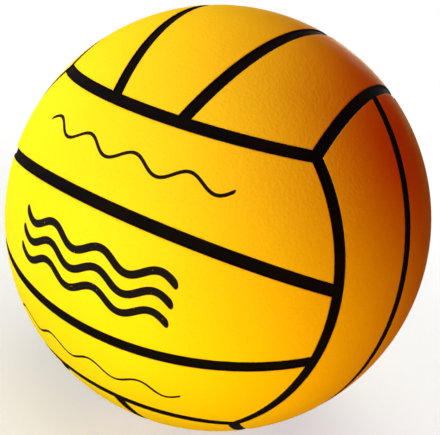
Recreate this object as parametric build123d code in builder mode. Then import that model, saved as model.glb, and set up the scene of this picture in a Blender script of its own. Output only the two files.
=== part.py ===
"""A size 5 water polo ball, in millimetres.

Eighteen rubber cover panels are cemented between the raised seam ribs of a black rubber carcass. Under it
lie a layer of wound nylon thread and an air bladder, and a rubber valve with a plug that pulls out goes
through them all.

The origin is the ball's centre and +Z is up. The ball has six faces of three panels each: -Y is the middle
of the front face, +X of the right face and +Z of the top face. The valve opens along +Y, in the middle of
the back face.
"""

import os
from math import asin, atan, cos, degrees, radians, sin, sqrt

from build123d import *

# Ball and seams
ball_diameter = 220.0
seam_width = 4.8
seam_depth = 0.7
divider_angle = 14.2  # from a face's middle plane to the seam between two of its panels, in degrees
panel_edge_round = 0.35

# Layers, from the outside in
panel_thickness = 1.3
carcass_thickness = 0.5
winding_thickness = 0.4
bladder_thickness = 0.6
cement_film = 0.15  # between two bonded pieces

# Valve housing, bonded into the bladder
valve_nose_diameter = 10.0
valve_recess = 0.4  # from the ball's surface down to the top of the valve
valve_housing_length = 15.0
valve_flange_diameter = 34.0
valve_flange_thickness = 0.9
valve_mouth_round = 0.4

# Valve plug, which pulls out of the housing
plug_length = 14.4
plug_head_diameter = 7.6
plug_head_thickness = 1.8
plug_shaft_diameter = 5.6
plug_clearance = 0.05  # all round the plug
plug_tip_chamfer = 0.7

# Way in for an inflation needle
needle_guide_diameter = 2.2
needle_guide_depth = 6.0
needle_lead_diameter = 3.8
needle_lead_angle = 90.0
needle_slit_length = 3.2
needle_slit_gap = 0.15

# How far a cutting shape runs past what it cuts
cut_margin = 4.0

# Radii of the layers
cover_radius = ball_diameter / 2
panel_inner_radius = cover_radius - panel_thickness
rib_radius = cover_radius - seam_depth
carcass_radius = panel_inner_radius - cement_film
carcass_inner_radius = carcass_radius - carcass_thickness
winding_radius = carcass_inner_radius - cement_film
winding_inner_radius = winding_radius - winding_thickness
bladder_radius = winding_inner_radius - cement_film
bladder_inner_radius = bladder_radius - bladder_thickness
flange_radius = bladder_inner_radius - cement_film
flange_inner_radius = flange_radius - valve_flange_thickness

# Three faces meet at each corner of a cube, and this is the angle from a face's middle to its corners
corner_angle = degrees(atan(sqrt(2)))

# The valve's place along its axis, from the ball's centre
valve_top = cover_radius - valve_recess
plug_seat = valve_top - plug_head_thickness
nose_hole_radius = valve_nose_diameter / 2 + cement_film

# Each face's plane has z out of the ball, x along the panels and y across them
centre = (0, 0, 0)
faces = {
    "front": Plane(centre, x_dir=(1, 0, 0), z_dir=(0, -1, 0)),
    "back": Plane(centre, x_dir=(-1, 0, 0), z_dir=(0, 1, 0)),
    "left": Plane(centre, x_dir=(0, 0, 1), z_dir=(-1, 0, 0)),
    "right": Plane(centre, x_dir=(0, 0, -1), z_dir=(1, 0, 0)),
    "top": Plane(centre, x_dir=(0, -1, 0), z_dir=(0, 0, 1)),
    "bottom": Plane(centre, x_dir=(0, 1, 0), z_dir=(0, 0, -1)),
}
strip_names = {
    "front": {-1: "lower", 0: "middle", 1: "upper"},
    "back": {-1: "lower", 0: "middle", 1: "upper"},
    "left": {-1: "front", 0: "middle", 1: "rear"},
    "right": {-1: "front", 0: "middle", 1: "rear"},
    "top": {-1: "left", 0: "middle", 1: "right"},
    "bottom": {-1: "left", 0: "middle", 1: "right"},
}
valve_face = faces["back"]
valve_axis = Axis(centre, valve_face.z_dir)


def write_piece(piece, name):
    """Labels a finished piece and writes it to its own file."""
    piece.part.label = name
    export_step(piece.part, f"parts/{name}.step")


def ring_sector(plane, inner_radius, outer_radius, start_angle, end_angle):
    """The sector of a flat ring about the plane's origin, between two angles from the plane's x."""
    with BuildSketch(plane) as sector:
        with BuildLine():
            outer = CenterArc((0, 0), outer_radius, start_angle, end_angle - start_angle)
            inner = CenterArc((0, 0), inner_radius, start_angle, end_angle - start_angle)
            Line(inner @ 0, outer @ 0)
            Line(inner @ 1, outer @ 1)
        make_face()
    return sector.sketch


def cover_tile(face, strip, half_seam, inner_radius, outer_radius):
    """One strip of a face, as a shell between two radii that stands half a seam back from each seam's middle.

    The long sides of a face are cones about the axis across its strips, and its ends are a cone about its
    normal. The seams between its strips are great circles, so a plane parallel to each one leaves an even
    gap. The belt starts behind the ball, so the line where its surface closes is never in a tile.
    """
    lean = radians(divider_angle)
    setback = degrees(asin(half_seam / outer_radius))
    side_angle = 90 - corner_angle - setback
    end_angle = corner_angle - setback
    behind = Plane(centre, x_dir=-face.z_dir, z_dir=face.x_dir)
    ahead = Plane(centre, x_dir=face.z_dir, z_dir=face.y_dir)
    with BuildPart() as tile:
        belt = ring_sector(behind, inner_radius, outer_radius, -side_angle, side_angle)
        revolve(belt, axis=Axis(centre, face.y_dir))
        cap = ring_sector(ahead, inner_radius - cut_margin, outer_radius + cut_margin, 0, end_angle)
        revolve(cap, axis=Axis(centre, face.z_dir), mode=Mode.INTERSECT)
        for side in (-1, 1):
            outward = face.y_dir * (side * cos(lean)) - face.z_dir * sin(lean)
            if strip == 0:
                split(bisect_by=Plane(outward * -half_seam, z_dir=outward), keep=Keep.BOTTOM)
            elif strip == side:
                split(bisect_by=Plane(outward * half_seam, z_dir=outward), keep=Keep.TOP)
    return tile.part


os.makedirs("parts", exist_ok=True)

# Eighteen cover panels, with a hole for the valve in the middle one of the back face
for face_name, face in faces.items():
    for strip, strip_name in strip_names[face_name].items():
        with BuildPart() as panel:
            add(cover_tile(face, strip, seam_width / 2, panel_inner_radius, cover_radius))
            if face is valve_face and strip == 0:
                with BuildSketch(face):
                    Circle(nose_hole_radius)
                extrude(amount=cover_radius + cut_margin, mode=Mode.SUBTRACT)
            outer_face = panel.faces().filter_by(GeomType.SPHERE).sort_by(SortBy.AREA)[-1]
            fillet(outer_face.edges(), panel_edge_round)
        write_piece(panel, f"panel_{face_name}_{strip_name}")

# Carcass: a rubber shell with a pocket for each panel, so that the seam ribs stand between the pockets
with BuildPart() as carcass:
    Sphere(rib_radius)
    Sphere(carcass_inner_radius, mode=Mode.SUBTRACT)
    for face in faces.values():
        for strip in (-1, 0, 1):
            pocket = cover_tile(face, strip, seam_width / 2 - cement_film, carcass_radius, cover_radius)
            add(pocket, mode=Mode.SUBTRACT)
    with BuildSketch(valve_face):
        Circle(nose_hole_radius)
    extrude(amount=cover_radius, mode=Mode.SUBTRACT)
write_piece(carcass, "carcass")

# Wound nylon thread, as the closed layer that it makes round the bladder
with BuildPart() as nylon_winding:
    Sphere(winding_radius)
    Sphere(winding_inner_radius, mode=Mode.SUBTRACT)
    with BuildSketch(valve_face):
        Circle(nose_hole_radius)
    extrude(amount=cover_radius, mode=Mode.SUBTRACT)
write_piece(nylon_winding, "nylon_winding")

# Air bladder
with BuildPart() as bladder:
    Sphere(bladder_radius)
    Sphere(bladder_inner_radius, mode=Mode.SUBTRACT)
    with BuildSketch(valve_face):
        Circle(nose_hole_radius)
    extrude(amount=cover_radius, mode=Mode.SUBTRACT)
write_piece(bladder, "bladder")

# Valve housing: a tube through every layer, with a dished flange bonded to the inside of the bladder
with BuildPart() as valve_housing:
    with BuildSketch(valve_face.offset(valve_top - valve_housing_length)):
        Circle(valve_nose_diameter / 2)
    extrude(amount=valve_housing_length)
    flange_plane = Plane(centre, x_dir=valve_face.z_dir, z_dir=valve_face.y_dir)
    flange_angle = degrees(asin(valve_flange_diameter / 2 / flange_radius))
    revolve(ring_sector(flange_plane, flange_inner_radius, flange_radius, 0, flange_angle), axis=valve_axis)
    with Locations(valve_face.offset(valve_top)):
        CounterBoreHole(
            plug_shaft_diameter / 2 + plug_clearance,
            plug_head_diameter / 2 + plug_clearance,
            plug_head_thickness,
            depth=valve_housing_length,
        )
    mouth = valve_housing.faces().sort_by(valve_axis)[-1]
    fillet(mouth.outer_wire().edges(), valve_mouth_round)
write_piece(valve_housing, "valve_housing")

# Valve plug: a headed rubber stopper with a blind needle guide and a slit that opens for the needle
with BuildPart() as valve_plug:
    with BuildSketch(valve_face.offset(plug_seat)):
        Circle(plug_head_diameter / 2)
    extrude(amount=plug_head_thickness)
    with BuildSketch(valve_face.offset(valve_top - plug_length)):
        Circle(plug_shaft_diameter / 2)
    extrude(amount=plug_length)
    tip = valve_plug.faces().sort_by(valve_axis)[0]
    chamfer(tip.edges(), plug_tip_chamfer)
    with Locations(valve_face.offset(valve_top)):
        CounterSinkHole(
            needle_guide_diameter / 2,
            needle_lead_diameter / 2,
            depth=needle_guide_depth,
            counter_sink_angle=needle_lead_angle,
        )
    with BuildSketch(valve_face.offset(valve_top - plug_length)):
        Rectangle(needle_slit_length, needle_slit_gap)
    extrude(amount=plug_length - needle_guide_depth, mode=Mode.SUBTRACT)
write_piece(valve_plug, "valve_plug")
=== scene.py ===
# %% [markdown]
# A water polo ball, dressed in Blender
#
# The frame holds the ball as it is built: eighteen rubber panels, a black carcass whose ribs show as the
# seams, a layer of wound thread, a bladder and a valve. This lesson keeps each piece where the frame has
# it, gives the visible ones a finer mesh, and makes a finish for every one of them.

# %% Load the frame
import math

import bmesh
import bpy
from mathutils import Matrix, Vector


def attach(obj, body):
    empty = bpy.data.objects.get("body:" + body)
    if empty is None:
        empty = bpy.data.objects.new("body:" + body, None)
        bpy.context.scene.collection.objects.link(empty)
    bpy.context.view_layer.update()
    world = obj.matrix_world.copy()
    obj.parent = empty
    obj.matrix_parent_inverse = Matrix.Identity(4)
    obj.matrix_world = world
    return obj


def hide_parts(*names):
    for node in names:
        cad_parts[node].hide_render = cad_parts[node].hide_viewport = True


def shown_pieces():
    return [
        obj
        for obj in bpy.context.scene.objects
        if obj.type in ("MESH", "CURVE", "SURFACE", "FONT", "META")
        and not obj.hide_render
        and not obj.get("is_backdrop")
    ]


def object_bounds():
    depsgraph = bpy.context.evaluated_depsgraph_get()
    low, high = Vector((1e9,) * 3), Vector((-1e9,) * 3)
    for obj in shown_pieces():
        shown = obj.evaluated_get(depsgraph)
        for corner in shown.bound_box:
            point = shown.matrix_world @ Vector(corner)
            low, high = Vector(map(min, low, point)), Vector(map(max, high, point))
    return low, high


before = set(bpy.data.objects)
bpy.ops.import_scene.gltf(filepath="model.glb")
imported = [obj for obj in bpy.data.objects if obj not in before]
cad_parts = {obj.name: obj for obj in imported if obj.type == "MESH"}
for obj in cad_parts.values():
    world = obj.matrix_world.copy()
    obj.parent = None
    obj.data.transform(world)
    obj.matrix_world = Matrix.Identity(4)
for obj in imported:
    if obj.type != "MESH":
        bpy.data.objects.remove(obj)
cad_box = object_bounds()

scene = bpy.context.scene

# %% [markdown]
# Sizes come first. The ball's radius is read from the frame, and the seams and layers repeat the sizes
# that the pieces were built to. Everything is in metres, and the ball's centre is the origin.

# %% Sizes of the ball
MM = 0.001
ball_radius = cad_box[1].z
seam_width = 4.8 * MM
panel_thickness = 1.3 * MM
panel_edge_round = 0.5 * MM
divider_angle = math.radians(14.2)
corner_angle = math.atan(math.sqrt(2))
print(f"ball diameter {2 * ball_radius / MM:.1f} mm, seams {seam_width / MM:.1f} mm wide")

# %% [markdown]
# The camera stands where the photographer stood. The seams of the ball give its place away: where three of
# them meet, and how strongly the outer ones bend, fix the distance and the two angles, and the tilt of the
# strips fixes the roll. A small shift puts the ball's centre on its pixel.

# %% Camera
IMAGE_WIDTH, IMAGE_HEIGHT = 440, 435
BALL_CENTRE_PIXEL = (218.09, 217.9)
BALL_RADIUS_PIXELS = 213.4
camera_distance = 3.07 * ball_radius
camera_azimuth = 25.25
camera_elevation = 19.18
camera_roll = math.radians(-14.80)


def direction(azimuth, elevation):
    """The unit vector from the ball's centre towards these angles, in degrees. Azimuth 0 is along -Y."""
    turn, rise = math.radians(azimuth), math.radians(elevation)
    return Vector((math.sin(turn) * math.cos(rise), -math.cos(turn) * math.cos(rise), math.sin(rise)))


def aimed_at_centre(azimuth, elevation, distance, roll=0.0):
    """The matrix of a camera or lamp that stands at these angles and looks at the ball's centre."""
    backward = direction(azimuth, elevation)
    level_right = Vector((0, 0, 1)).cross(backward).normalized()
    level_up = backward.cross(level_right)
    right = math.cos(roll) * level_right - math.sin(roll) * level_up
    up = math.cos(roll) * level_up + math.sin(roll) * level_right
    turned = Matrix((right, up, backward)).transposed().to_4x4()
    return Matrix.Translation(backward * distance) @ turned


camera = bpy.data.objects.new("camera", bpy.data.cameras.new("camera"))
scene.collection.objects.link(camera)
scene.camera = camera
camera.matrix_world = aimed_at_centre(camera_azimuth, camera_elevation, camera_distance, camera_roll)
# The ball's outline is where the view just grazes it, so its size in pixels fixes the lens
grazing_length = math.sqrt((camera_distance / ball_radius) ** 2 - 1)
camera.data.lens = camera.data.sensor_width * BALL_RADIUS_PIXELS * grazing_length / IMAGE_WIDTH
camera.data.shift_x = (IMAGE_WIDTH / 2 - BALL_CENTRE_PIXEL[0]) / IMAGE_WIDTH
camera.data.shift_y = (BALL_CENTRE_PIXEL[1] - IMAGE_HEIGHT / 2) / IMAGE_WIDTH
camera.data.clip_start = 10 * MM
print(f"camera {camera_distance / MM:.0f} mm from the centre, lens {camera.data.lens:.1f} mm")

# %% [markdown]
# Shapes and finishes are both built as node trees here, so two helpers come next. The first adds a node
# and joins or fills its inputs. The second adds Math nodes, so that a rule can be written line by line as
# sums.


# %% Helpers for node trees
def add_node(tree, kind, inputs=None, **settings):
    """Adds a node with these settings, joins or fills its inputs, and gives back its outputs."""
    node = tree.nodes.new(kind)
    for name, value in settings.items():
        setattr(node, name, value)
    for name, value in (inputs or {}).items():
        if isinstance(value, bpy.types.NodeSocket):
            tree.links.new(value, node.inputs[name])
        else:
            node.inputs[name].default_value = value
    return node.outputs


def sums_in(tree):
    """A function that adds one Math node to the tree and gives back its result."""

    def sums(operation, *values):
        return add_node(tree, "ShaderNodeMath", dict(enumerate(values)), operation=operation)["Value"]

    return sums


def new_tree(name, inputs, outputs):
    """A Geometry Nodes tree with these sockets. Gives back the tree, its inputs and where results go."""
    tree = bpy.data.node_groups.new(name, "GeometryNodeTree")
    for socket_name, kind in inputs.items():
        tree.interface.new_socket(socket_name, in_out="INPUT", socket_type="NodeSocket" + kind)
    for socket_name, kind in outputs.items():
        tree.interface.new_socket(socket_name, in_out="OUTPUT", socket_type="NodeSocket" + kind)
    return tree, tree.nodes.new("NodeGroupInput").outputs, tree.nodes.new("NodeGroupOutput").inputs


print("helpers for node trees are ready")

# %% [markdown]
# The cover is six faces of three strips. The ends of a face lie on a circle about the face's middle, and
# its long sides on circles about the axis across the strips. The seams inside a face are great circles
# that lean to either side. So any point of a strip follows from two shares, one along the strip and one
# across it: the share across picks a slanted plane, and the share along picks a point on the circle where
# that plane cuts the ball. No point is placed by hand.

# %% Rule for a point of a strip
STRIP_SIZES = ("Ball Radius", "Half Seam", "Divider Angle", "Corner Angle", "Outer Strip")


def build_strip_rule():
    """The tree that turns shares along (-1 to 1) and across (0 to 1) a strip into a direction."""
    inputs = dict.fromkeys(("Along", "Across", *STRIP_SIZES), "Float")
    outputs = {"Direction": "Vector", "Length": "Float"}
    tree, given, result = new_tree("point of a strip", inputs, outputs)
    sums = sums_in(tree)
    outer, across = given["Outer Strip"], given["Across"]
    gap = sums("DIVIDE", given["Half Seam"], given["Ball Radius"])
    setback = sums("ARCSINE", gap)
    end_height = sums("COSINE", sums("SUBTRACT", given["Corner Angle"], setback))
    side_height = sums("COSINE", sums("ADD", given["Corner Angle"], setback))
    # The plane's lean and its distance from the centre go evenly from one seam of the strip to the other
    first_lean = sums("MULTIPLY", given["Divider Angle"], sums("MULTIPLY_ADD", outer, 2.0, -1.0))
    last_lean = sums("MULTIPLY", given["Divider Angle"], sums("SUBTRACT", 1.0, outer))
    lean = sums("MULTIPLY_ADD", across, sums("SUBTRACT", last_lean, first_lean), first_lean)
    last_gap = sums("MULTIPLY_ADD", outer, sums("ADD", side_height, gap), sums("MULTIPLY", gap, -1.0))
    offset = sums("MULTIPLY_ADD", across, sums("SUBTRACT", last_gap, gap), gap)
    sine, cosine = sums("SINE", lean), sums("COSINE", lean)
    circle = sums("SQRT", sums("SUBTRACT", 1.0, sums("MULTIPLY", offset, offset)))
    # The circle is followed as far as the end of the face, on either side of its middle
    end_reach = sums("MULTIPLY_ADD", offset, sine, end_height)
    end_turn = sums("ARCCOSINE", sums("DIVIDE", end_reach, sums("MULTIPLY", circle, cosine)))
    turn = sums("MULTIPLY", given["Along"], end_turn)
    reach = sums("MULTIPLY", circle, sums("COSINE", turn))
    lowered = sums("MULTIPLY", sums("MULTIPLY", offset, sine), -1.0)
    point = {
        "X": sums("MULTIPLY", circle, sums("SINE", turn)),
        "Y": sums("MULTIPLY_ADD", reach, sine, sums("MULTIPLY", offset, cosine)),
        "Z": sums("MULTIPLY_ADD", reach, cosine, lowered),
    }
    tree.links.new(add_node(tree, "ShaderNodeCombineXYZ", point)["Vector"], result["Direction"])
    half_length = sums("MULTIPLY", circle, sums("MULTIPLY", end_turn, given["Ball Radius"]))
    tree.links.new(sums("MULTIPLY", half_length, 2.0), result["Length"])
    return tree


strip_rule = build_strip_rule()
print("strip rule:", len(strip_rule.nodes), "nodes")

# %% [markdown]
# A moulded panel has a rounded edge, and a mesh needs its rows close together there. This second rule
# spaces the rows: the first is the foot of the edge's wall, the next few go round the edge, and the rest
# spread over the panel, closer near the edge than in the middle. It also tells how far outside the flat
# part a row lies, for the rounding.


# %% Rule for the spacing of rows
def build_edge_spacing():
    """The tree that turns a row's number into its share of the width and its part in the rounding."""
    inputs = dict.fromkeys(("Row", "Last Row", "Width", "Edge Round", "Edge Rows"), "Float")
    outputs = dict.fromkeys(("Share", "Inset", "Wall", "Distance"), "Float")
    tree, given, result = new_tree("spacing at an edge", inputs, outputs)
    sums = sums_in(tree)
    row, last, width, edge_round = given["Row"], given["Last Row"], given["Width"], given["Edge Round"]
    from_far = sums("SUBTRACT", last, row)
    from_edge = sums("MINIMUM", row, from_far)
    edge_share = sums("DIVIDE", sums("SUBTRACT", from_edge, 1.0), given["Edge Rows"])
    bend = sums("MULTIPLY", sums("MINIMUM", sums("MAXIMUM", edge_share, 0.0), 1.0), math.pi / 2)
    inset = sums("MULTIPLY", edge_round, sums("COSINE", bend))
    # Rows past the rounding follow half a cosine wave, which is dense at both ends
    first = sums("ADD", given["Edge Rows"], 1.0)
    middle_rows = sums("SUBTRACT", last, sums("MULTIPLY", first, 2.0))
    wave = sums("MULTIPLY", sums("DIVIDE", sums("SUBTRACT", from_edge, first), middle_rows), math.pi)
    spread = sums("MULTIPLY", sums("SUBTRACT", 1.0, sums("COSINE", sums("MAXIMUM", wave, 0.0))), 0.5)
    flat_width = sums("SUBTRACT", width, sums("MULTIPLY", edge_round, 2.0))
    distance = sums("MULTIPLY_ADD", spread, flat_width, sums("SUBTRACT", edge_round, inset))
    share = sums("DIVIDE", distance, width)
    far_side = sums("GREATER_THAN", row, from_far)
    to_far_share = sums("SUBTRACT", 1.0, sums("MULTIPLY", share, 2.0))
    tree.links.new(sums("MULTIPLY_ADD", far_side, to_far_share, share), result["Share"])
    tree.links.new(inset, result["Inset"])
    tree.links.new(sums("LESS_THAN", from_edge, 0.5), result["Wall"])
    tree.links.new(distance, result["Distance"])
    return tree


edge_spacing = build_edge_spacing()
print("edge spacing:", len(edge_spacing.nodes), "nodes")

# %% [markdown]
# Now the panel itself. A flat grid gives the rows and columns, the two rules say where each of its points
# goes, and the same grid laid at the inside of the cover closes the panel below. Each point keeps its
# distance from the seam as an attribute, which the finish uses for the wear along the edges. One tree
# makes all eighteen panels.

# %% Panel tree
PANEL_SIZES = (*STRIP_SIZES, "Thickness", "Edge Round")
PANEL_COUNTS = ("Edge Rows", "Columns", "Rows")
panel_weld = 0.01 * MM


def build_panel_tree():
    """The tree of one cover panel, with x along the strip, y across the strips and z outwards."""
    inputs = dict.fromkeys(PANEL_SIZES, "Float") | dict.fromkeys(PANEL_COUNTS, "Int")
    inputs["Finish"] = "Material"
    tree, given, result = new_tree("cover panel", inputs, {"Panel": "Geometry"})
    sums = sums_in(tree)
    strip_sizes = {name: given[name] for name in STRIP_SIZES}
    counts = {"Size X": 1.0, "Size Y": 1.0, "Vertices X": given["Columns"], "Vertices Y": given["Rows"]}
    grid = add_node(tree, "GeometryNodeMeshGrid", counts)["Mesh"]
    position = add_node(tree, "GeometryNodeInputPosition")["Position"]
    on_grid = add_node(tree, "ShaderNodeSeparateXYZ", {"Vector": position})

    def strip_point(along, across):
        """What the first rule gives for a point at these shares of the strip."""
        values = {"Along": along, "Across": across, **strip_sizes}
        return add_node(tree, "GeometryNodeGroup", dict(enumerate(values.values())), node_tree=strip_rule)

    def spaced(axis, count, width):
        """What the second rule gives along one axis of the grid, which goes from -0.5 to 0.5."""
        last = sums("SUBTRACT", count, 1.0)
        number = sums("ROUND", sums("MULTIPLY", sums("ADD", on_grid[axis], 0.5), last))
        values = (number, last, width, given["Edge Round"], given["Edge Rows"])
        return add_node(tree, "GeometryNodeGroup", dict(enumerate(values)), node_tree=edge_spacing)

    # Columns share out the strip's length, then rows share out its width at that column
    columns = spaced("X", given["Columns"], strip_point(1.0, sums("ADD", on_grid["Y"], 0.5))["Length"])
    along = sums("MULTIPLY_ADD", columns["Share"], 2.0, -1.0)
    sides = {0: strip_point(along, 0.0)["Direction"], 1: strip_point(along, 1.0)["Direction"]}
    width = add_node(tree, "ShaderNodeVectorMath", sides, operation="DISTANCE")["Value"]
    rows = spaced("Y", given["Rows"], sums("MULTIPLY", width, given["Ball Radius"]))
    outward = strip_point(along, rows["Share"])["Direction"]

    # The surface drops along a quarter circle at the edge, and to the foot of the wall at the last row
    edge_round, thickness = given["Edge Round"], given["Thickness"]
    inset = sums("SQRT", sums("ADD", sums("POWER", columns["Inset"], 2.0), sums("POWER", rows["Inset"], 2.0)))
    inset = sums("MINIMUM", inset, edge_round)
    rise = sums("SQRT", sums("SUBTRACT", sums("POWER", edge_round, 2.0), sums("POWER", inset, 2.0)))
    drop = sums("SUBTRACT", edge_round, rise)
    wall = sums("MAXIMUM", columns["Wall"], rows["Wall"])
    drop = sums("MULTIPLY_ADD", wall, sums("SUBTRACT", thickness, drop), drop)

    from_seam = sums("MINIMUM", columns["Distance"], rows["Distance"])
    kept = {"Geometry": grid, "Name": "seam_distance", "Value": from_seam}
    kind = {"data_type": "FLOAT", "domain": "POINT"}
    grid = add_node(tree, "GeometryNodeStoreNamedAttribute", kept, **kind)["Geometry"]

    def laid_below(depth):
        """The grid, with its points on the strip and this far under the ball's surface."""
        radius = sums("SUBTRACT", given["Ball Radius"], depth)
        length = {0: outward, "Scale": radius}
        place = add_node(tree, "ShaderNodeVectorMath", length, operation="SCALE")["Vector"]
        return add_node(tree, "GeometryNodeSetPosition", {"Geometry": grid, "Position": place})["Geometry"]

    inside = add_node(tree, "GeometryNodeFlipFaces", {"Mesh": laid_below(thickness)})["Mesh"]
    join = tree.nodes.new("GeometryNodeJoinGeometry")
    for side in (inside, laid_below(drop)):
        tree.links.new(side, join.inputs["Geometry"])
    weld = {"Geometry": join.outputs["Geometry"], "Distance": panel_weld}
    closed = add_node(tree, "GeometryNodeMergeByDistance", weld)["Geometry"]
    real = add_node(tree, "GeometryNodeRealizeInstances", {"Geometry": closed})["Geometry"]
    finished = add_node(tree, "GeometryNodeSetMaterial", {"Geometry": real, "Material": given["Finish"]})
    tree.links.new(finished["Geometry"], result["Panel"])
    return tree


panel_tree = build_panel_tree()
print("panel tree:", len(panel_tree.nodes), "nodes")

# %% [markdown]
# Finishes are procedural, and read Object coordinates, so a grain has its real size in metres and stays on
# the piece when the piece moves. These helpers start a finish and add the few kinds of node that all of
# the finishes share.


# %% Helpers for finishes
# Most of a noise's values lie between these two
NOISE_SPREAD = (0.3, 0.7)


def start_finish(name):
    """A new material with a Principled shader, its tree, the shader's inputs and the place."""
    material = bpy.data.materials.new(name)
    material.use_nodes = True
    tree = material.node_tree
    tree.nodes.clear()
    shader = tree.nodes.new("ShaderNodeBsdfPrincipled")
    add_node(tree, "ShaderNodeOutputMaterial", {"Surface": shader.outputs["BSDF"]})
    place = add_node(tree, "ShaderNodeTexCoord")["Object"]
    return material, tree, shader.inputs, place


def grain(tree, place, size, detail=2.0):
    """Soft noise whose blotches are about this size across, from 0 to 1."""
    return add_node(tree, "ShaderNodeTexNoise", {"Vector": place, "Scale": 1 / size, "Detail": detail})["Fac"]


def between(tree, value, low, high, to_low, to_high):
    """Maps a value that goes from low to high onto another range, and holds it there."""
    limits = {"From Min": low, "From Max": high, "To Min": to_low, "To Max": to_high}
    return add_node(tree, "ShaderNodeMapRange", {"Value": value, **limits})["Result"]


def patches(tree, place, size, detail, spread, strength):
    """Blotches of about this size, which come up to their strength as the noise goes through the spread."""
    return between(tree, grain(tree, place, size, detail), *spread, 0.0, strength)


def uneven(tree, place, size, detail, limits):
    """A value that wanders between these limits, in blotches of about this size."""
    return between(tree, grain(tree, place, size, detail), *NOISE_SPREAD, *limits)


def inside_edge(tree, distance, limit, softness):
    """1 for a distance below the limit and 0 above it, with a soft step between them."""
    return between(tree, distance, limit - softness, limit + softness, 1.0, 0.0)


def mixed(tree, factor, colour_a, colour_b):
    """Goes from one colour to the other as the factor goes from 0 to 1."""
    # The node repeats its sockets' names for each kind of data, so those for colours go by number
    colours = {0: factor, 6: colour_a, 7: colour_b}
    return add_node(tree, "ShaderNodeMix", colours, data_type="RGBA")[2]


def bumped(tree, height, distance, under=None):
    """A bump of this depth, laid over another one."""
    values = {"Height": height, "Distance": distance, "Strength": 1.0}
    if under is not None:
        values["Normal"] = under
    return add_node(tree, "ShaderNodeBump", values)["Normal"]


print("helpers for finishes are ready")

# %% [markdown]
# Balls like this carry black print on the front. This one gets plain water lines: three bold waves across
# the middle panel, and a thin one on the panels above and below. Screen-printed ink follows the surface,
# so the pattern is measured along it, round the ball from the middle of the front and up from the equator.
# The ink stops at a set distance from each wave's centre line, which gives it an even width and round
# ends.

# %% Wave print
BOLD_WAVE = {"width": 3.4 * MM, "reach": 39 * MM}
THIN_WAVE = {"width": 1.5 * MM, "reach": 52 * MM}
PRINT_WAVES = {
    -47.5 * MM: THIN_WAVE,
    -8.5 * MM: BOLD_WAVE,
    0.0: BOLD_WAVE,
    8.5 * MM: BOLD_WAVE,
    47.5 * MM: THIN_WAVE,
}
wave_length, wave_height = 26 * MM, 2.8 * MM
ink_softness = 0.12 * MM
ink_patch_size, ink_patch_spread = 1.0 * MM, (0.22, 0.30)
thin_ink = 0.4


def wave_ink(tree, place):
    """1 where the print has ink, 0 where it has none."""
    sums = sums_in(tree)
    at = add_node(tree, "ShaderNodeSeparateXYZ", {"Vector": place})
    turn = sums("ARCTAN2", at["X"], sums("MULTIPLY", at["Y"], -1.0))
    along = sums("MULTIPLY", turn, ball_radius)
    up = sums("MULTIPLY", sums("ARCSINE", sums("DIVIDE", at["Z"], ball_radius)), ball_radius)
    phase = sums("MULTIPLY", along, 2 * math.pi / wave_length)
    swing = sums("MULTIPLY", sums("SINE", phase), wave_height)
    slope = sums("MULTIPLY", sums("COSINE", phase), 2 * math.pi * wave_height / wave_length)
    # Where a wave climbs, the distance to it is shorter than the height above it
    lean = sums("INVERSE_SQRT", sums("MULTIPLY_ADD", slope, slope, 1.0))
    ink = 0.0
    for height, wave in PRINT_WAVES.items():
        off = sums("MULTIPLY", sums("SUBTRACT", sums("SUBTRACT", up, swing), height), lean)
        past_end = sums("MAXIMUM", sums("SUBTRACT", sums("ABSOLUTE", along), wave["reach"]), 0.0)
        distance = sums("SQRT", sums("MULTIPLY_ADD", off, off, sums("MULTIPLY", past_end, past_end)))
        ink = sums("MAXIMUM", ink, inside_edge(tree, distance, wave["width"] / 2, ink_softness))
    noise = grain(tree, place, ink_patch_size, detail=3.0)
    patchy = between(tree, noise, *ink_patch_spread, thin_ink, 1.0)
    return sums("MULTIPLY", ink, patchy)


print("print:", len(PRINT_WAVES), "waves")

# %% [markdown]
# The cover is yellow rubber, moulded with a fine pebble so that wet hands can grip it. Rubber isn't one
# even colour: it has cloudy patches from the mould, a fine speck, and a dull line of wear where the panels
# meet the seams. The black of the seams laps over the first quarter of a millimetre of each panel's edge,
# so a seam that is seen at a slant stays black. The pebble is far too small to model on eighteen panels,
# so a Voronoi pattern bumps the surface at its true size instead.

# %% Cover rubber
COVER_YELLOW = (0.92, 0.76, 0.010, 1)
COVER_PALE = (0.94, 0.82, 0.016, 1)
COVER_WORN = (0.55, 0.34, 0.006, 1)
INK_BLACK = (0.006, 0.006, 0.007, 1)
SEAM_BLACK = (0.003, 0.003, 0.003, 1)
seam_lap, lap_softness = 0.25 * MM, 0.08 * MM
wear_start, wear_end, wear_strength = 0.8 * MM, 1.9 * MM, 0.45
wear_spot_size, wear_raggedness = 4 * MM, 1.6 * MM
cover_roughness, cover_specular = (0.66, 0.80), 0.03
pebble_size, pebble_height = 1.3 * MM, 0.05 * MM
pebble_smoothness, dome_reach = 0.6, 0.7
dent_size, dent_depth = 14 * MM, 0.10 * MM


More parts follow.
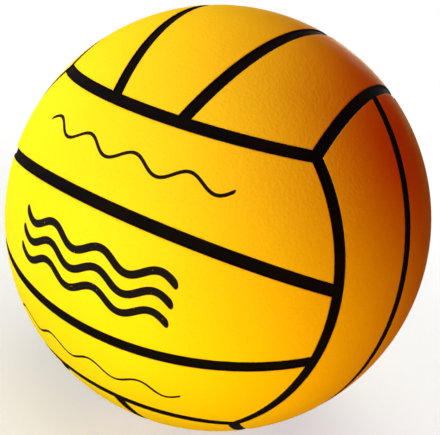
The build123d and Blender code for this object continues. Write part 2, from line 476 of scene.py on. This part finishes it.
def cover_rubber(name, printed):
    """Yellow pebbled rubber with cloudy patches, specks and worn edges, and with or without the print."""
    material, tree, shader, place = start_finish(name)
    sums = sums_in(tree)
    clouds = patches(tree, place, size=60 * MM, detail=3.0, spread=NOISE_SPREAD, strength=1.0)
    colour = mixed(tree, clouds, COVER_YELLOW, COVER_PALE)
    specks = patches(tree, place, size=0.7 * MM, detail=1.0, spread=(0.62, 0.75), strength=0.18)
    colour = mixed(tree, specks, colour, COVER_WORN)
    seam_distance = add_node(tree, "ShaderNodeAttribute", attribute_name="seam_distance")["Fac"]
    worn_spots = grain(tree, place, wear_spot_size, detail=4.0)
    ragged = sums("MULTIPLY_ADD", worn_spots, wear_raggedness, seam_distance)
    edge_wear = between(tree, ragged, wear_start, wear_end, wear_strength, 0.0)
    colour = mixed(tree, edge_wear, colour, COVER_WORN)
    lapped = inside_edge(tree, seam_distance, seam_lap, lap_softness)
    colour = mixed(tree, lapped, colour, SEAM_BLACK)
    if printed:
        colour = mixed(tree, wave_ink(tree, place), colour, INK_BLACK)
    tree.links.new(colour, shader["Base Color"])
    roughness = uneven(tree, place, size=9 * MM, detail=4.0, limits=cover_roughness)
    tree.links.new(roughness, shader["Roughness"])
    shader["Specular IOR Level"].default_value = cover_specular
    cells = {"Vector": place, "Scale": 1 / pebble_size, "Smoothness": pebble_smoothness}
    pebbles = add_node(tree, "ShaderNodeTexVoronoi", cells, feature="SMOOTH_F1")["Distance"]
    domes = between(tree, pebbles, 0.0, dome_reach, 1.0, 0.0)
    dented = bumped(tree, grain(tree, place, dent_size), dent_depth)
    tree.links.new(bumped(tree, domes, pebble_height, dented), shader["Normal"])
    return material


cover_finish = cover_rubber("cover_rubber", printed=False)
printed_finish = cover_rubber("cover_rubber_printed", printed=True)
for finish in (cover_finish, printed_finish):
    print(finish.name + ":", len(finish.node_tree.nodes), "nodes")

# %% [markdown]
# Each panel is an empty object with the tree as its modifier. Once the sizes are in, the evaluated shape
# is copied to a plain mesh, the modifier goes, and the mesh is turned onto its face of the ball. The two
# outer strips of a face are the same shape, so one of them is turned half a turn. The back middle panel is
# twice as fine, for the valve's hole.

# %% Faces of the ball
# Each face's x runs along its strips, its z points outwards, and strip +1 lies on its +y side
FACES = {
    "front": ((1, 0, 0), (0, -1, 0), {-1: "lower", 0: "middle", 1: "upper"}),
    "back": ((-1, 0, 0), (0, 1, 0), {-1: "lower", 0: "middle", 1: "upper"}),
    "left": ((0, 0, 1), (-1, 0, 0), {-1: "front", 0: "middle", 1: "rear"}),
    "right": ((0, 0, -1), (1, 0, 0), {-1: "front", 0: "middle", 1: "rear"}),
    "top": ((0, -1, 0), (0, 0, 1), {-1: "left", 0: "middle", 1: "right"}),
    "bottom": ((0, 1, 0), (0, 0, -1), {-1: "left", 0: "middle", 1: "right"}),
}
VALVE_PANEL = "panel_back_middle"
sharp_angle = math.radians(50)
panel_grid = {"Edge Rows": 4, "Columns": 79, "Rows": 37}
valve_panel_grid = {"Edge Rows": 4, "Columns": 151, "Rows": 69}


def face_matrix(x_axis, z_axis):
    """Turns a shape from a face's own frame into the ball's frame."""
    x_axis, z_axis = Vector(x_axis), Vector(z_axis)
    return Matrix((x_axis, z_axis.cross(x_axis), z_axis)).transposed().to_4x4()


def shaped_by(tree, name, values):
    """The plain mesh that a Geometry Nodes tree makes with these inputs."""
    maker = bpy.data.objects.new(name, bpy.data.meshes.new(name))
    scene.collection.objects.link(maker)
    modifier = maker.modifiers.new("shape", "NODES")
    modifier.node_group = tree
    for item in tree.interface.items_tree:
        if item.in_out == "INPUT":
            modifier[item.identifier] = values[item.name]
    depsgraph = bpy.context.evaluated_depsgraph_get()
    mesh = bpy.data.meshes.new_from_object(
        maker.evaluated_get(depsgraph), preserve_all_data_layers=True, depsgraph=depsgraph
    )
    maker.modifiers.clear()
    bpy.data.objects.remove(maker)
    return mesh


def add_piece(name, mesh, body, slot, *nodes):
    """Puts a finished mesh in the scene as a piece that rides a body and stands for these nodes."""
    mesh.name = name
    piece = bpy.data.objects.new(name + "_skin", mesh)
    scene.collection.objects.link(piece)
    mesh.shade_smooth()
    mesh.set_sharp_from_angle(angle=sharp_angle)
    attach(piece, body)
    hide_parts(*nodes)
    return piece


print("faces:", ", ".join(FACES))

# %% [markdown]
# The valve comes out through the middle of the back panel. The grid's faces there are taken out above and
# below, and the edges left open are drawn in ring by ring: flat to the lip, round the lip, and down to the
# inside, where the two edges meet. This keeps the panel closed, with a rounded lip that a cut by a
# cylinder wouldn't have.

# %% Hole for the valve
valve_hole_radius = 5.15 * MM
valve_lip_round = 0.4 * MM
valve_lip_steps = 5
valve_patch_radius = 2.2 * valve_hole_radius
valve_ring_radius = 1.4 * valve_hole_radius
rough_edge_cuts = 2
hole_weld = 0.005 * MM


def open_valve_hole(mesh):
    """Opens a round hole in the middle of a panel, in its face's own frame."""
    shape = bmesh.new()
    shape.from_mesh(mesh)
    covered = [f for f in shape.faces if all(v.co.xy.length < valve_patch_radius for v in f.verts)]
    bmesh.ops.delete(shape, geom=covered, context="FACES")
    rough_edges = [e for e in shape.edges if e.is_boundary]
    bmesh.ops.subdivide_edges(shape, edges=rough_edges, cuts=rough_edge_cuts)
    half_depth = ball_radius - panel_thickness / 2
    open_edges = [e for e in shape.edges if e.is_boundary]
    outside = [e for e in open_edges if e.verts[0].co.length > half_depth]
    inside = [e for e in open_edges if e.verts[0].co.length < half_depth]

    def draw_in(edges, hole_radius, shell_radius):
        """Extrudes a ring of edges and sets the new ring on a circle about the hole's axis."""
        made = bmesh.ops.extrude_edge_only(shape, edges=edges)["geom"]
        for vert in (item for item in made if isinstance(item, bmesh.types.BMVert)):
            flat = vert.co.xy.normalized() * hole_radius
            vert.co = (flat.x, flat.y, math.sqrt(shell_radius**2 - hole_radius**2))
        return [item for item in made if isinstance(item, bmesh.types.BMEdge)]

    outside = draw_in(outside, valve_ring_radius, ball_radius)
    for step in range(valve_lip_steps + 1):
        bend = math.pi / 2 * step / valve_lip_steps
        lip = valve_hole_radius + valve_lip_round * (1 - math.sin(bend))
        outside = draw_in(outside, lip, ball_radius - valve_lip_round * (1 - math.cos(bend)))
    draw_in(outside, valve_hole_radius, ball_radius - panel_thickness)
    draw_in(inside, valve_hole_radius, ball_radius - panel_thickness)
    bmesh.ops.remove_doubles(shape, verts=shape.verts, dist=hole_weld)
    bmesh.ops.recalc_face_normals(shape, faces=shape.faces)
    shape.to_mesh(mesh)
    shape.free()


print(f"valve hole {2 * valve_hole_radius / MM:.1f} mm across")

# %% [markdown]
# Now one loop makes the eighteen panels. The three on the front carry the print, and the one with the
# valve gets its hole while it still lies flat in its face's own frame, where the hole's axis is z.

# %% Eighteen panels
panel_values = {
    "Ball Radius": ball_radius,
    "Half Seam": seam_width / 2,
    "Divider Angle": divider_angle,
    "Corner Angle": corner_angle,
    "Thickness": panel_thickness,
    "Edge Round": panel_edge_round,
}
half_turn = Matrix.Rotation(math.pi, 4, "Z")
triangles = 0
for face, (x_axis, z_axis, strips) in FACES.items():
    for strip, strip_name in strips.items():
        node = f"panel_{face}_{strip_name}"
        counts = valve_panel_grid if node == VALVE_PANEL else panel_grid
        finish = printed_finish if face == "front" else cover_finish
        own_values = {"Outer Strip": float(abs(strip)), "Finish": finish}
        mesh = shaped_by(panel_tree, node, {**panel_values, **counts, **own_values})
        if node == VALVE_PANEL:
            open_valve_hole(mesh)
        if strip < 0:
            mesh.transform(half_turn)
        mesh.transform(face_matrix(x_axis, z_axis))
        add_piece(node, mesh, "ball", "cover_rubber", node)
        mesh.calc_loop_triangles()
        triangles += len(mesh.loop_triangles)
print("panels: 18 pieces,", triangles, "triangles")

# %% [markdown]
# The carcass is black rubber. Only its ribs show, as the seams between the panels, and they are duller
# than the panels because nothing rubs them. The node from the frame has the right shape, so it stays and
# only gets a finish.

# %% Seam rubber
SEAM_DUSTY = (0.008, 0.005, 0.003, 1)
seam_roughness, seam_specular = (0.80, 0.94), 0.02
seam_grain_size, seam_grain_height = 0.5 * MM, 0.03 * MM


def seam_rubber():
    """Black rubber with a little dust and a fine moulded grain."""
    material, tree, shader, place = start_finish("seam_rubber")
    dust = patches(tree, place, size=11 * MM, detail=5.0, spread=(0.45, 0.75), strength=0.7)
    tree.links.new(mixed(tree, dust, SEAM_BLACK, SEAM_DUSTY), shader["Base Color"])
    roughness = uneven(tree, place, size=3 * MM, detail=3.0, limits=seam_roughness)
    tree.links.new(roughness, shader["Roughness"])
    shader["Specular IOR Level"].default_value = seam_specular
    moulded = bumped(tree, grain(tree, place, seam_grain_size), seam_grain_height)
    tree.links.new(moulded, shader["Normal"])
    return material


def dress(node, finish):
    """Gives a node from the frame its finish."""
    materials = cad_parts[node].data.materials
    materials.clear()
    materials.append(finish)
    print("dressed", node, "with", finish.name)


dress("carcass", seam_rubber())

# %% [markdown]
# Under the carcass, nylon thread is wound round the bladder in every direction, so that the ball stays
# round. A machine lays each turn as a great circle and then tilts the ball a little. So one turn is a ring
# of thread, and the tree sets it out on many planes, picked by a fixed seed. It leaves out the turns that
# would cross the valve.


# %% Winding tree
def build_winding_tree():
    """The tree of the wound layer: rings of thread about the ball's centre, clear of an opening along y."""
    lengths = ("Radius", "Radius Spread", "Thread Radius", "Opening Radius")
    counts = ("Turns", "Seed", "Ring Steps", "Thread Sides")
    inputs = dict.fromkeys(lengths, "Float") | dict.fromkeys(counts, "Int")
    inputs["Finish"] = "Material"
    tree, given, result = new_tree("wound thread", inputs, {"Threads": "Geometry"})
    sums = sums_in(tree)
    ring_sizes = {"Resolution": given["Ring Steps"], "Radius": given["Radius"]}
    ring = add_node(tree, "GeometryNodeCurvePrimitiveCircle", ring_sizes)["Curve"]
    thread_sizes = {"Resolution": given["Thread Sides"], "Radius": given["Thread Radius"]}
    section = add_node(tree, "GeometryNodeCurvePrimitiveCircle", thread_sizes)["Curve"]
    turn = add_node(tree, "GeometryNodeCurveToMesh", {"Curve": ring, "Profile Curve": section})["Mesh"]

    # Each turn's plane faces a random way, and its size varies a little so that turns pass over each other
    reach = {"Min": (-1, -1, -1), "Max": (1, 1, 1), "Seed": given["Seed"]}
    facing = add_node(tree, "FunctionNodeRandomValue", reach, data_type="FLOAT_VECTOR")["Value"]
    facing = add_node(tree, "ShaderNodeVectorMath", {0: facing}, operation="NORMALIZE")["Vector"]
    rotation = add_node(tree, "FunctionNodeAlignRotationToVector", {"Vector": facing}, axis="Z")["Rotation"]
    share = sums("DIVIDE", given["Radius Spread"], given["Radius"])
    # As in the colour mix, the sockets for a plain value go by number
    limits = {2: sums("SUBTRACT", 1.0, share), 3: sums("ADD", 1.0, share), "Seed": given["Seed"]}
    scale = add_node(tree, "FunctionNodeRandomValue", limits, data_type="FLOAT")[1]

    # A plane that faces nearly across the opening's axis would lay its turn over the opening
    along_opening = sums("ABSOLUTE", add_node(tree, "ShaderNodeSeparateXYZ", {"Vector": facing})["Y"])
    clear = sums("GREATER_THAN", along_opening, sums("DIVIDE", given["Opening Radius"], given["Radius"]))
    points = add_node(tree, "GeometryNodePoints", {"Count": given["Turns"]})[0]
    placing = {"Points": points, "Selection": clear, "Instance": turn, "Rotation": rotation, "Scale": scale}
    turns = add_node(tree, "GeometryNodeInstanceOnPoints", placing)["Instances"]
    real = add_node(tree, "GeometryNodeRealizeInstances", {"Geometry": turns})["Geometry"]
    finished = add_node(tree, "GeometryNodeSetMaterial", {"Geometry": real, "Material": given["Finish"]})
    tree.links.new(finished["Geometry"], result["Threads"])
    return tree


winding_tree = build_winding_tree()
print("winding tree:", len(winding_tree.nodes), "nodes")

# %% [markdown]
# The thread is off-white nylon, with a little latex dried between its fibres. The bladder under it is dark
# butyl rubber with a pale bloom, which keeps the frame's solid.

# %% Inner layers
NYLON_WHITE = (0.70, 0.66, 0.58, 1)
NYLON_LATEX = (0.46, 0.40, 0.29, 1)
BLADDER_BLACK = (0.030, 0.030, 0.033, 1)
BLADDER_BLOOM = (0.085, 0.083, 0.080, 1)
nylon_roughness, bladder_roughness = 0.45, 0.5
fibre_size, fibre_height = 0.2 * MM, 0.02 * MM
bladder_grain_size, bladder_grain_height = 1.5 * MM, 0.04 * MM


def nylon_thread():
    """Off-white thread with patches of dried latex."""
    material, tree, shader, place = start_finish("nylon_thread")
    latex = patches(tree, place, size=6 * MM, detail=4.0, spread=(0.42, 0.65), strength=0.9)
    tree.links.new(mixed(tree, latex, NYLON_WHITE, NYLON_LATEX), shader["Base Color"])
    fibres = bumped(tree, grain(tree, place, fibre_size), fibre_height)
    tree.links.new(fibres, shader["Normal"])
    shader["Roughness"].default_value = nylon_roughness
    return material


def bladder_rubber():
    """Dark butyl rubber with a pale bloom."""
    material, tree, shader, place = start_finish("bladder_rubber")
    bloom = patches(tree, place, size=18 * MM, detail=4.0, spread=(0.4, 0.7), strength=0.8)
    tree.links.new(mixed(tree, bloom, BLADDER_BLACK, BLADDER_BLOOM), shader["Base Color"])
    dipped = bumped(tree, grain(tree, place, bladder_grain_size, detail=3.0), bladder_grain_height)
    tree.links.new(dipped, shader["Normal"])
    shader["Roughness"].default_value = bladder_roughness
    return material


winding_values = {
    "Radius": 107.7 * MM,
    "Radius Spread": 0.08 * MM,
    "Thread Radius": 0.12 * MM,
    "Opening Radius": 5.5 * MM,
    "Turns": 150,
    "Seed": 5,
    "Ring Steps": 120,
    "Thread Sides": 4,
    "Finish": nylon_thread(),
}
winding_mesh = shaped_by(winding_tree, "nylon_winding", winding_values)
add_piece("nylon_winding", winding_mesh, "ball", "nylon_thread", "nylon_winding")
print("nylon winding:", len(winding_mesh.polygons), "faces")
dress("bladder", bladder_rubber())

# %% [markdown]
# The valve is black rubber too, softer and smoother than the seams. Its plug is handled each time that the
# ball is pumped up, so the rubber is a little rubbed.

# %% Valve rubber
VALVE_BLACK = (0.014, 0.014, 0.015, 1)
VALVE_RUBBED = (0.040, 0.038, 0.036, 1)
valve_roughness, valve_specular = (0.42, 0.58), 0.35
valve_grain_size, valve_grain_height = 0.35 * MM, 0.015 * MM


def valve_rubber():
    """Soft black rubber, a little rubbed."""
    material, tree, shader, place = start_finish("valve_rubber")
    rubbed = patches(tree, place, size=2.5 * MM, detail=4.0, spread=(0.45, 0.7), strength=0.8)
    tree.links.new(mixed(tree, rubbed, VALVE_BLACK, VALVE_RUBBED), shader["Base Color"])
    roughness = uneven(tree, place, size=1.2 * MM, detail=3.0, limits=valve_roughness)
    tree.links.new(roughness, shader["Roughness"])
    shader["Specular IOR Level"].default_value = valve_specular
    moulded = bumped(tree, grain(tree, place, valve_grain_size), valve_grain_height)
    tree.links.new(moulded, shader["Normal"])
    return material


valve_finish = valve_rubber()
print("valve rubber:", len(valve_finish.node_tree.nodes), "nodes")

# %% [markdown]
# Both parts of the valve are turned shapes, moulded in round dies. Each is a profile of corners, given as
# a distance from the axis, a height from the ball's centre and a rounding. The profile is spun about the
# axis, so every lip comes out round without a bevel, and the finished shape is turned to the back of the
# ball.

# %% Helpers for turned pieces
turned_steps = 72
arc_steps = 5
turned_weld = 0.001 * MM


def rounded_profile(corners):
    """The points of a profile, with an arc in place of each corner that has a rounding."""
    points = [Vector(corners[0][:2])]
    for before, corner, after in zip(corners, corners[1:], corners[2:]):
        here, rounding = Vector(corner[:2]), corner[2]
        if rounding == 0:
            points.append(here)
            continue
        back = (Vector(before[:2]) - here).normalized()
        ahead = (Vector(after[:2]) - here).normalized()
        half_angle = back.angle(ahead) / 2
        centre = here + (back + ahead).normalized() * rounding / math.sin(half_angle)
        first = here + back * rounding / math.tan(half_angle) - centre
        last = here + ahead * rounding / math.tan(half_angle) - centre
        ways = [first.slerp(last, step / arc_steps).normalized() for step in range(arc_steps + 1)]
        points += [centre + rounding * way for way in ways]
    points.append(Vector(corners[-1][:2]))
    return points


def turned(name, points):
    """A mesh made by spinning a profile about z. Points on the axis become its poles."""
    shape = bmesh.new()
    verts = [shape.verts.new((point.x, 0, point.y)) for point in points]
    edges = [shape.edges.new(pair) for pair in zip(verts, verts[1:])]
    bmesh.ops.spin(shape, geom=verts + edges, axis=(0, 0, 1), angle=2 * math.pi, steps=turned_steps)
    bmesh.ops.remove_doubles(shape, verts=shape.verts, dist=turned_weld)
    bmesh.ops.recalc_face_normals(shape, faces=shape.faces)
    mesh = bpy.data.meshes.new(name)
    shape.to_mesh(mesh)
    shape.free()
    return mesh


print("helpers for turned pieces are ready")

# %% [markdown]
# The housing is a tube with a dished flange that is cemented to the inside of the bladder. Only its nose
# shows, as a black ring in the back panel. The flange follows the ball, so its two sides are arcs about
# the ball's centre.

# %% Valve housing
valve_recess = 0.4 * MM
valve_top = ball_radius - valve_recess
nose_radius = 5.0 * MM
housing_length = 15.0 * MM
socket_radius, socket_depth = 3.85 * MM, 1.8 * MM
bore_radius = 2.85 * MM
flange_reach = 17.0 * MM
flange_top, flange_bottom = 106.6 * MM, 105.7 * MM
flange_steps = 10
neck = 0.5 * MM
profile_start_depth = 1.0 * MM
mouth_round, nose_round, foot_round = 0.3 * MM, 0.4 * MM, 0.6 * MM
flange_round, bore_round, socket_round = 0.3 * MM, 0.4 * MM, 0.1 * MM


def dished(shell_radius, from_radius, to_radius):
    """Profile corners along a sphere about the ball's centre, between two distances from the axis."""
    stride = (to_radius - from_radius) / flange_steps
    spread = [from_radius + stride * step for step in range(flange_steps + 1)]
    return [(reach, math.sqrt(shell_radius**2 - reach**2), 0) for reach in spread]


def housing_profile():
    """Goes down the outside of the housing and up its bore."""
    foot = valve_top - housing_length
    socket_floor = valve_top - socket_depth
    start = (socket_radius, valve_top - profile_start_depth, 0)
    top_of_flange = dished(flange_top, nose_radius + neck, flange_reach)
    under_flange = dished(flange_bottom, flange_reach, nose_radius + neck)
    corners = [start, (socket_radius, valve_top, mouth_round), (nose_radius, valve_top, nose_round)]
    corners += [(nose_radius, top_of_flange[0][1] + neck, 0), *top_of_flange[:-1]]
    corners += [(*top_of_flange[-1][:2], flange_round), (*under_flange[0][:2], flange_round)]
    corners += [*under_flange[1:], (nose_radius, under_flange[-1][1] - neck, 0)]
    corners += [(nose_radius, foot, foot_round), (bore_radius, foot, bore_round)]
    corners += [(bore_radius, socket_floor, socket_round), (socket_radius, socket_floor, socket_round)]
    return rounded_profile([*corners, start])


valve_turn = face_matrix(*FACES["back"][:2])
housing_mesh = turned("valve_housing", housing_profile())
housing_mesh.materials.append(valve_finish)
housing_mesh.transform(valve_turn)
add_piece("valve_housing", housing_mesh, "ball", "valve_rubber", "valve_housing")
print("valve housing:", len(housing_mesh.polygons), "faces")

# %% [markdown]
# The plug seals the bore. Its head lies in the socket, slightly domed, with a funnel that leads an
# inflation needle to a blind guide. Rings round the shaft grip the bore. A slit runs from the guide to the
# tip, and opens only for the needle, so it is cut through the turned shape with a thin box.

# %% Valve plug
plug_length = 14.4 * MM
head_radius, head_thickness = 3.8 * MM, 1.8 * MM
head_dome = 0.15 * MM
shaft_radius = 2.8 * MM
groove_depth, groove_height, groove_pitch = 0.15 * MM, 0.5 * MM, 2.0 * MM
groove_count = 4
tip_chamfer = 0.7 * MM
guide_radius, guide_depth = 1.1 * MM, 6.0 * MM
funnel_radius = 1.9 * MM
slit_length, slit_gap = 3.2 * MM, 0.15 * MM
slit_overrun, slit_overlap = 1 * MM, 0.1 * MM
dome_start, dome_round = funnel_radius + 0.8 * MM, 1.5 * MM
guide_round, throat_round, rim_round = 0.3 * MM, 0.4 * MM, 0.25 * MM
head_round, seat_round, groove_round, tip_round = 0.3 * MM, 0.15 * MM, 0.05 * MM, 0.3 * MM


def plug_profile():
    """Goes up the needle guide, over the head and down the shaft."""
    tip = valve_top - plug_length
    seat = valve_top - head_thickness
    guide_floor = valve_top - guide_depth
    funnel_depth = funnel_radius - guide_radius
    corners = [(0, guide_floor, 0), (guide_radius, guide_floor, guide_round)]
    corners += [(guide_radius, valve_top - funnel_depth, throat_round), (funnel_radius, valve_top, rim_round)]
    corners += [(dome_start, valve_top, dome_round), (head_radius, valve_top - head_dome, head_round)]
    corners += [(head_radius, seat, seat_round), (shaft_radius, seat, seat_round)]
    bottom = shaft_radius - groove_depth
    for number in range(groove_count):
        high = seat - (number + 1) * groove_pitch
        low = high - groove_height
        upper_side = [(shaft_radius, high), (bottom, high - groove_depth)]
        lower_side = [(bottom, low + groove_depth), (shaft_radius, low)]
        corners += [(*corner, groove_round) for corner in upper_side + lower_side]
    corners += [(shaft_radius, tip + tip_chamfer, tip_round), (shaft_radius - tip_chamfer, tip, tip_round)]
    return rounded_profile([*corners, (0, tip, 0)])


def cut_slit(mesh):
    """The mesh with a thin box taken out of it, from below its tip up to the needle guide."""
    low = valve_top - plug_length - slit_overrun
    high = valve_top - guide_depth + slit_overlap
    shape = bmesh.new()
    size = Matrix.Diagonal((slit_length, slit_gap, high - low, 1))
    bmesh.ops.create_cube(shape, size=1.0, matrix=Matrix.Translation((0, 0, (low + high) / 2)) @ size)
    blade_mesh = bpy.data.meshes.new("slit")
    shape.to_mesh(blade_mesh)
    shape.free()
    blade = bpy.data.objects.new("slit", blade_mesh)
    cut = bpy.data.objects.new("cut", mesh)
    for helper in (blade, cut):
        scene.collection.objects.link(helper)
    boolean = cut.modifiers.new("slit", "BOOLEAN")
    boolean.operation = "DIFFERENCE"
    boolean.solver = "EXACT"
    boolean.object = blade
    depsgraph = bpy.context.evaluated_depsgraph_get()
    slotted = bpy.data.meshes.new_from_object(cut.evaluated_get(depsgraph), depsgraph=depsgraph)
    cut.modifiers.clear()
    for helper in (blade, cut):
        bpy.data.objects.remove(helper)
    return slotted


plug_mesh = cut_slit(turned("valve_plug", plug_profile()))
plug_mesh.materials.clear()
plug_mesh.materials.append(valve_finish)
plug_mesh.transform(valve_turn)
add_piece("valve_plug", plug_mesh, "plug", "valve_rubber", "valve_plug")
print("valve plug:", len(plug_mesh.polygons), "faces")

# %% [markdown]
# The ball rests on a plain white floor that goes on to a white background. For the camera, most of the
# floor's white is its own light, so the shadow stays soft and pale, and with distance it takes over, so no
# horizon shows. The world is white for the camera and for reflections, and a dim warm light for everything
# else.

# %% Floor and world
FLOOR_WHITE = (0.86, 0.86, 0.86, 1)
FLOOR_BOUNCE = (0.20, 0.03, 0.01, 1)
floor_size = 12.0
floor_glow = 0.60
floor_fade_start, floor_fade_end = 0.25, 0.9
WORLD_WHITE = (1, 1, 1, 1)
AMBIENT_COLOUR = (1.0, 0.15, 0.10, 1)
ambient_level = 0.01


def camera_sees(tree):
    """1 for rays from the camera, reflections and transmission, and 0 for light that falls on things."""
    sums = sums_in(tree)
    path = add_node(tree, "ShaderNodeLightPath")
    seen = sums("MAXIMUM", path["Is Camera Ray"], path["Is Glossy Ray"])
    return sums("MAXIMUM", seen, path["Is Transmission Ray"])


def white_floor():
    """A matt floor that is white and glows for the camera, and throws a warmer light back at the ball."""
    material = bpy.data.materials.new("white_floor")
    material.use_nodes = True
    tree = material.node_tree
    tree.nodes.clear()
    place = add_node(tree, "ShaderNodeTexCoord")["Object"]
    distance = add_node(tree, "ShaderNodeVectorMath", {0: place}, operation="LENGTH")["Value"]
    glow_level = between(tree, distance, floor_fade_start, floor_fade_end, floor_glow, 1.0)
    matt = add_node(tree, "ShaderNodeBsdfDiffuse", {"Color": FLOOR_WHITE})["BSDF"]
    glow = add_node(tree, "ShaderNodeEmission", {"Color": WORLD_WHITE, "Strength": glow_level})["Emission"]
    white = add_node(tree, "ShaderNodeAddShader", {0: matt, 1: glow})["Shader"]
    bounce = add_node(tree, "ShaderNodeBsdfDiffuse", {"Color": FLOOR_BOUNCE})["BSDF"]
    surface = add_node(tree, "ShaderNodeMixShader", {0: camera_sees(tree), 1: bounce, 2: white})["Shader"]
    add_node(tree, "ShaderNodeOutputMaterial", {"Surface": surface})
    return material


def build_floor():
    """One large square at the ball's lowest point."""
    half = floor_size / 2
    height = cad_box[0].z
    corners = [(-half, -half, height), (half, -half, height), (half, half, height), (-half, half, height)]
    mesh = bpy.data.meshes.new("floor")
    mesh.from_pydata(corners, [], [(0, 1, 2, 3)])
    mesh.materials.append(white_floor())
    floor = bpy.data.objects.new("floor", mesh)
    scene.collection.objects.link(floor)
    floor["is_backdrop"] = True
    return floor


def build_world():
    """White where the camera sees it, and a dim warm light elsewhere."""
    world = bpy.data.worlds.new("studio")
    world.use_nodes = True
    tree = world.node_tree
    tree.nodes.clear()

    def sky(colour, level):
        """A background of one colour, at this level."""
        return add_node(tree, "ShaderNodeBackground", {"Color": colour, "Strength": level})["Background"]

    light, seen = sky(AMBIENT_COLOUR, ambient_level), sky(WORLD_WHITE, 1.0)
    surface = add_node(tree, "ShaderNodeMixShader", {0: camera_sees(tree), 1: light, 2: seen})["Shader"]
    add_node(tree, "ShaderNodeOutputWorld", {"Surface": surface})
    scene.world = world


floor = build_floor()
build_world()
print(f"floor at z = {cad_box[0].z / MM:.1f} mm")

# %% [markdown]
# Soft boxes light the ball. A lamp's level here is how bright a white card would look that faces it at the
# ball's centre, where 1 is white. For an area lamp that is its power divided by the square of pi times its
# distance. The main lamp stands on the left, a red fill above the front, and another lamp lights the back.
# Two low cards lie before the ball, a yellow one and a red one further right, because the photographed
# ball turns from yellow to red-brown that way. Each is linked to the ball alone, and a lamp overhead to
# the floor alone, so the shadow is short and neutral.

# %% Lamps
WHITE_LIGHT = (1.0, 1.0, 1.0)
SOFT_BOX_DISTANCE, CARD_DISTANCE, CEILING_DISTANCE = 0.8, 0.3, 0.9
BALL_LAMPS = {
    "main": {
        "angles": (-40, 20),
        "distance": SOFT_BOX_DISTANCE,
        "size": (0.5, 0.3),
        "level": 1.05,
        "colour": WHITE_LIGHT,
    },
    "fill": {
        "angles": (15, 50),
        "distance": SOFT_BOX_DISTANCE,
        "size": (0.5, 0.5),
        "level": 0.36,
        "colour": (1.0, 0.01, 0.005),
    },
    "card": {
        "angles": (25, -19),
        "distance": CARD_DISTANCE,
        "size": (0.16, 0.02),
        "level": 0.43,
        "colour": (1.0, 0.82, 0.06),
    },
    "ember": {
        "angles": (65, -19),
        "distance": CARD_DISTANCE,
        "size": (0.35, 0.02),
        "level": 0.20,
        "colour": (1.0, 0.02, 0.0),
    },
    "back": {
        "angles": (189, 12),
        "distance": SOFT_BOX_DISTANCE,
        "size": (0.15, 0.3),
        "level": 0.95,
        "colour": (1.0, 0.92, 0.8),
    },
}
# A lamp straight above would have no level side, so this one leans a tenth of a degree
FLOOR_LAMPS = {
    "overhead": {
        "angles": (0, 89.9),
        "distance": CEILING_DISTANCE,
        "size": (1.0, 1.0),
        "level": 0.6,
        "colour": WHITE_LIGHT,
    },
}


def add_soft_box(name, angles, distance, size, level, colour):
    """An area lamp that faces the ball's centre from this azimuth and elevation."""
    data = bpy.data.lights.new(name, "AREA")
    data.shape = "RECTANGLE"
    data.size, data.size_y = size
    data.energy = level * (math.pi * distance) ** 2
    data.color = colour
    lamp = bpy.data.objects.new(name, data)
    scene.collection.objects.link(lamp)
    lamp.matrix_world = aimed_at_centre(*angles, distance)
    lamp.visible_camera = False
    return lamp


def light_only(name, lamps, receivers):
    """Adds these lamps and links them to the receivers, so that nothing else is lit by them."""
    lit = bpy.data.collections.new(name)
    for receiver in receivers:
        lit.objects.link(receiver)
    for lamp_name, settings in lamps.items():
        add_soft_box(lamp_name, **settings).light_linking.receiver_collection = lit
    print(name + ":", ", ".join(lamps))


light_only("lit_ball", BALL_LAMPS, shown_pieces())
light_only("lit_floor", FLOOR_LAMPS, [floor])
scene.view_settings.view_transform = "Standard"
